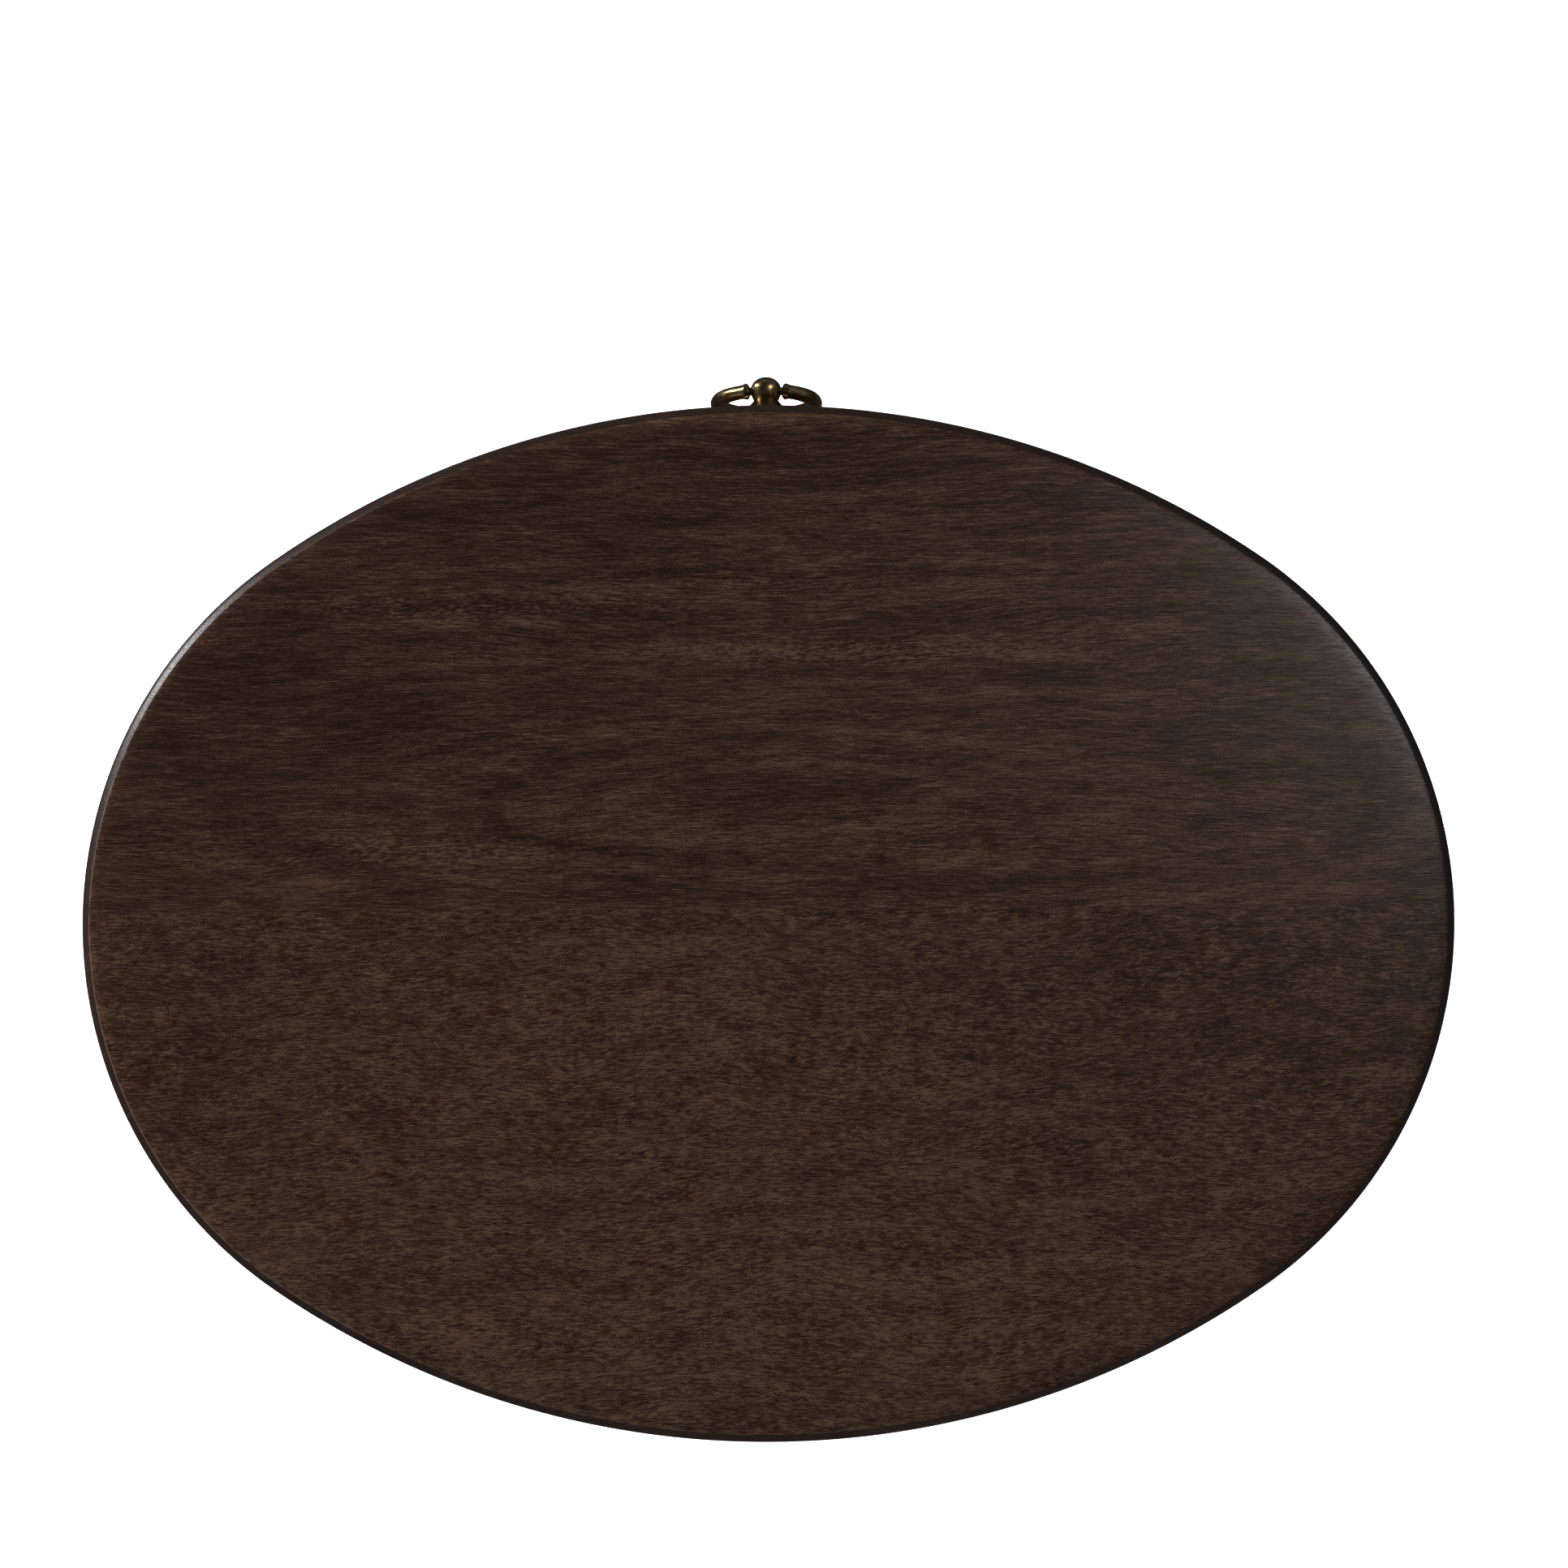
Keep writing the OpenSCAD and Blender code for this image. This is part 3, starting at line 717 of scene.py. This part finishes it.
def zinc_steel():
    """Dull plated steel of screws, clips and nails."""
    s = Shader("zinc_steel")
    point = s.place()
    cloud = s.noise(point, 4, 4, 3)
    grain = s.noise(point, 0.4, 0.4, 2)
    colour = s.ramp(cloud * 0.5 + grain * 0.2, [tint(*c) for c in (
        (132, 133, 138), (158, 160, 164), (178, 180, 183), (196, 197, 198),
        (208, 206, 200))])
    return s.finish(colour, 0.36 + cloud * 0.05, grain, 0.02, Metallic=1.0)


def glide_plastic():
    """Dark moulded plastic, slightly scuffed."""
    s = Shader("glide_plastic")
    point = s.place()
    grain = s.noise(point, 0.7, 0.7, 2)
    scuff = s.noise(point, 6, 6, 2)
    colour = s.ramp(scuff * 0.5 + grain * 0.2, [tint(*c) for c in (
        (34, 31, 29), (42, 38, 35), (50, 46, 42), (58, 54, 50), (68, 63, 58))])
    return s.finish(colour, 0.52 + scuff * 0.06, grain, 0.05)


# ---- putting it together ----

def wear(piece, material):
    """Gives a piece its material in every slot."""
    piece.data.materials.clear()
    piece.data.materials.append(material)


side_arc_wood = frame_wood("stained_wood_long_arcs", along_side_arc)
end_arc_wood = frame_wood("stained_wood_end_arcs", along_end_arc)
leg_wood = frame_wood("stained_wood_legs", upright)
rail_wood = frame_wood("stained_wood_flat_rails", along_x)
plain_along_x = plain_wood("plain_wood_along_x", along_x)
plain_along_y = plain_wood("plain_wood_along_y", along_y)
brass = aged_brass()
steel = zinc_steel()
plastic = glide_plastic()

wear(top_board("front_top_board", -1), front_board_wood())
wear(top_board("rear_top_board", 1), rear_board_wood())
into_leg = LEG_WIDTH / 2 - 2
wear(arc_bar("left_side_rail", "table", True, -1, into_leg), end_arc_wood)
wear(arc_bar("right_side_rail", "table", True, 1, into_leg), end_arc_wood)
wear(arc_bar("rear_rail", "table", False, 1, into_leg), side_arc_wood)
clear_of_leg = LEG_WIDTH / 2 + 1.5
wear(arc_bar("drawer_front", "drawer", False, -1, clear_of_leg), side_arc_wood)
for end, sign_x in (("left", -1), ("right", 1)):
    for row, sign_y in (("front", -1), ("rear", 1)):
        wear(leg(f"{row}_{end}_leg", sign_x, sign_y), leg_wood)
wear(pull_post(), brass)
wear(pull_rosette(), brass)
wear(pull_ring(), brass)

# CAD nodes that keep their shape: material, and width of their softened edges
KEPT = {
    "upper_front_rail": (rail_wood, 0.5), "lower_front_rail": (rail_wood, 0.8),
    "left_runner": (plain_along_y, 0.5), "right_runner": (plain_along_y, 0.5),
    "kicker": (plain_along_y, 0.5), "drawer_back_stops": (plain_along_x, 0.6),
    "out_stop": (plain_along_x, 0.5), "drawer_left_side": (plain_along_y, 0.6),
    "drawer_right_side": (plain_along_y, 0.6), "drawer_back": (plain_along_x, 0.6),
    "drawer_bottom": (plain_along_x, 0.3), "out_stop_screw": (steel, 0.15),
    "rail_screws": (steel, 0.15), "clip_screws": (steel, 0.2),
    "drawer_bottom_screws": (steel, 0.2), "pull_screw": (steel, 0.25),
    "glide_nails": (steel, 0.12), "top_clips": (steel, 0.3),
    "leg_glides": (plastic, 0.25),
}
for node, (material, width) in KEPT.items():
    wear(nodes[node], material)
    soften(nodes[node], width, 2, weld=True)


# ---- stage, light and camera ----

def floor():
    """A plain pale floor that isn't mirrored in the table and throws no light on it."""
    s = Shader("floor")
    point = s.place()
    cloud = s.noise(point, 700, 700, 2)
    colour = s.ramp(cloud, [tint(*c) for c in (
        (238, 238, 238), (240, 240, 240), (241, 241, 241))])
    material = s.finish(colour, 0.85 + cloud * 0.02, cloud, 0.05,
                        Emission_Color=(1, 1, 1, 1), Emission_Strength=0.72)
    mesh = bpy.data.meshes.new("floor")
    build = bmesh.new()
    bmesh.ops.create_circle(build, cap_ends=True, segments=128, radius=9.0)
    build.to_mesh(mesh)
    build.free()
    mesh.materials.append(material)
    disc = bpy.data.objects.new("floor", mesh)
    scene.collection.objects.link(disc)
    disc.visible_glossy = False
    disc.visible_diffuse = False


def softbox(name, place, aim, size, power, mirrored=True):
    """A rectangular lamp; one that isn't mirrored lights surfaces but makes no highlight."""
    data = bpy.data.lights.new(name, "AREA")
    data.shape = "RECTANGLE"
    data.size, data.size_y = size
    data.energy = power
    lamp = bpy.data.objects.new(name, data)
    scene.collection.objects.link(lamp)
    lamp.location = place
    lamp.visible_camera = False
    lamp.visible_glossy = mirrored
    lamp.rotation_euler = (Vector(aim) - Vector(place)).to_track_quat("-Z", "Y").to_euler()


def world():
    """A dim studio with a dark ceiling, which the camera sees as a plain pale backdrop."""
    sky = bpy.data.worlds.new("studio")
    sky.use_nodes = True
    tree = sky.node_tree
    tree.nodes.clear()
    where = tree.nodes.new("ShaderNodeTexCoord")
    split = tree.nodes.new("ShaderNodeSeparateXYZ")
    ramp = tree.nodes.new("ShaderNodeValToRGB")
    glow = tree.nodes.new("ShaderNodeBackground")
    out = tree.nodes.new("ShaderNodeOutputWorld")
    tree.links.new(where.outputs["Generated"], split.inputs[0])
    tree.links.new(ramp.outputs["Color"], glow.inputs["Color"])
    backdrop = tree.nodes.new("ShaderNodeBackground")
    backdrop.inputs["Color"].default_value = (0.72, 0.72, 0.73, 1)
    path = tree.nodes.new("ShaderNodeLightPath")
    seen = tree.nodes.new("ShaderNodeMixShader")
    tree.links.new(path.outputs["Is Camera Ray"], seen.inputs[0])
    tree.links.new(glow.outputs[0], seen.inputs[1])
    tree.links.new(backdrop.outputs[0], seen.inputs[2])
    tree.links.new(seen.outputs[0], out.inputs[0])
    ramp.color_ramp.interpolation = "EASE"
    height = tree.nodes.new("ShaderNodeMath")
    height.operation = "MULTIPLY_ADD"
    height.inputs[1].default_value = height.inputs[2].default_value = 0.5
    tree.links.new(split.outputs["Z"], height.inputs[0])
    tree.links.new(height.outputs[0], ramp.inputs[0])
    # Grey by height, from 0 straight down to 1 straight up
    bands = ((0.30, 0.05), (0.49, 0.08), (0.53, 0.24), (0.85, 0.06))
    for i, (spot, grey) in enumerate(bands):
        element = (ramp.color_ramp.elements[i] if i < 2
                   else ramp.color_ramp.elements.new(spot))
        element.position = spot
        element.color = (grey, grey, grey * 1.02, 1)
    scene.world = sky


floor()
world()
# The wide key lights the table, and the narrow gleam makes the short highlight on its rim
softbox("key", (3.4, -2.2, 1.2), (0, 0, 0.6), (2.4, 2.0), 482, mirrored=False)
softbox("gleam", (3.44, -2.12, 1.2), (0, 0, 0.6), (0.8, 1.4), 140)
softbox("panel", (-1.36, -0.73, 2.35), (-0.2, -0.1, 0.55), (0.4, 1.0), 12)
softbox("back", (0.9, 2.4, 1.9), (0, 0, 0.4), (2.4, 2.4), 48, mirrored=False)
softbox("low_back", (-0.4, 2.6, 0.34), (0, 0, 0.34), (2.4, 0.5), 45, mirrored=False)

# The camera looks straight down, with the drawer at the top of the picture
CAMERA_HEIGHT = 0.858
CAMERA_X = -0.0069
CAMERA_ROLL = math.radians(0.34)

camera_data = bpy.data.cameras.new("camera")
camera_data.sensor_width = 36.0
camera_data.lens = 44.63
camera_data.shift_y = 0.089
camera_data.clip_end = 50.0
camera = bpy.data.objects.new("camera", camera_data)
scene.collection.objects.link(camera)
camera.location = (CAMERA_X, MIDDLE_Y * MM, TOP_Z * MM + CAMERA_HEIGHT)
camera.rotation_euler = (0, 0, math.pi - CAMERA_ROLL)
scene.camera = camera
scene.view_settings.view_transform = "Standard"
